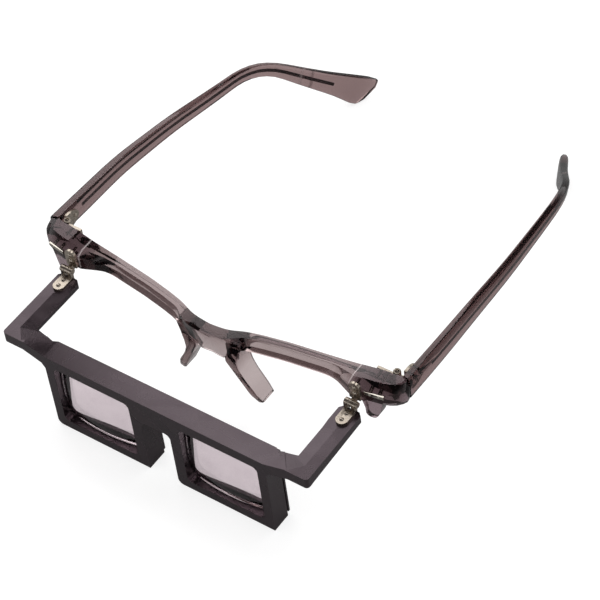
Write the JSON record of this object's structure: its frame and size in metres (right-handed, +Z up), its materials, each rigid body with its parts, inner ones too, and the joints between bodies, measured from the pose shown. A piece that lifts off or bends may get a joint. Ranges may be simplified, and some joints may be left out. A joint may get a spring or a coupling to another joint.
{
  "type": "flip-up magnifier glasses",
  "caption": "Binocular magnifier glasses: a smoke plastic spectacle front with folding temples and a black frame of thick windows that flips up on brow hinges.",
  "frame": {"origin": "on the resting surface, under the middle of the whole length and width with the temples open", "axes": "+X across the face towards the wearer's left hand side as seen in the picture's right, +Y back along the temples, +Z up"},
  "size_m": [0.1396, 0.1806, 0.046],
  "materials": {
    "smoke_plastic": "polished, see-through smoke grey",
    "black_plastic": "satin moulded black",
    "lens_glass": "polished clear lens",
    "nickel": "warm nickel plate",
    "pale_metal": "polished nickel silver",
    "core_wire": "drawn wire inside the plastic"
  },
  "bodies": {
    "carrier": {"carrier_front": "smoke_plastic", "trim_plate_left": "pale_metal", "trim_rivets_left": "pale_metal", "flip_hinge_upper_leaf_left": "nickel", "flip_hinge_upper_rivets_left": "nickel", "temple_hinge_front_leaf_left": "nickel", "temple_hinge_front_rivets_left": "nickel", "temple_hinge_screw_left": "nickel", "trim_plate_right": "pale_metal", "trim_rivets_right": "pale_metal", "flip_hinge_upper_leaf_right": "nickel", "flip_hinge_upper_rivets_right": "nickel", "temple_hinge_front_leaf_right": "nickel", "temple_hinge_front_rivets_right": "nickel", "temple_hinge_screw_right": "nickel"},
    "left_temple": {"temple_left": "smoke_plastic", "temple_core_left": "core_wire", "temple_hinge_rear_leaf_left": "nickel", "temple_hinge_rear_rivets_left": "nickel"},
    "right_temple": {"temple_right": "smoke_plastic", "temple_core_right": "core_wire", "temple_hinge_rear_leaf_right": "nickel", "temple_hinge_rear_rivets_right": "nickel"},
    "magnifier": {"magnifier_frame": "black_plastic", "lens_left": "lens_glass", "lens_retainer_left": "black_plastic", "flip_hinge_lower_leaf_left": "nickel", "flip_hinge_lower_rivets_left": "nickel", "flip_hinge_screw_left": "nickel", "lens_right": "lens_glass", "lens_retainer_right": "black_plastic", "flip_hinge_lower_leaf_right": "nickel", "flip_hinge_lower_rivets_right": "nickel", "flip_hinge_screw_right": "nickel"}
  },
  "joints": [
    {"name": "magnifier_flip", "type": "hinge", "parent": "carrier", "child": "magnifier", "pos_m": [0, -0.06066, 0.03825], "axis": [-1, 0, 0], "range_deg": [0, 85]},
    {"name": "left_temple_fold", "type": "hinge", "parent": "carrier", "child": "left_temple", "pos_m": [-0.06385, -0.04786, 0.0405], "axis": [0, 0, -1], "range_deg": [0, 88]},
    {"name": "right_temple_fold", "type": "hinge", "parent": "carrier", "child": "right_temple", "pos_m": [0.06385, -0.04786, 0.0405], "axis": [0, 0, 1], "range_deg": [0, 78]}
  ]
}
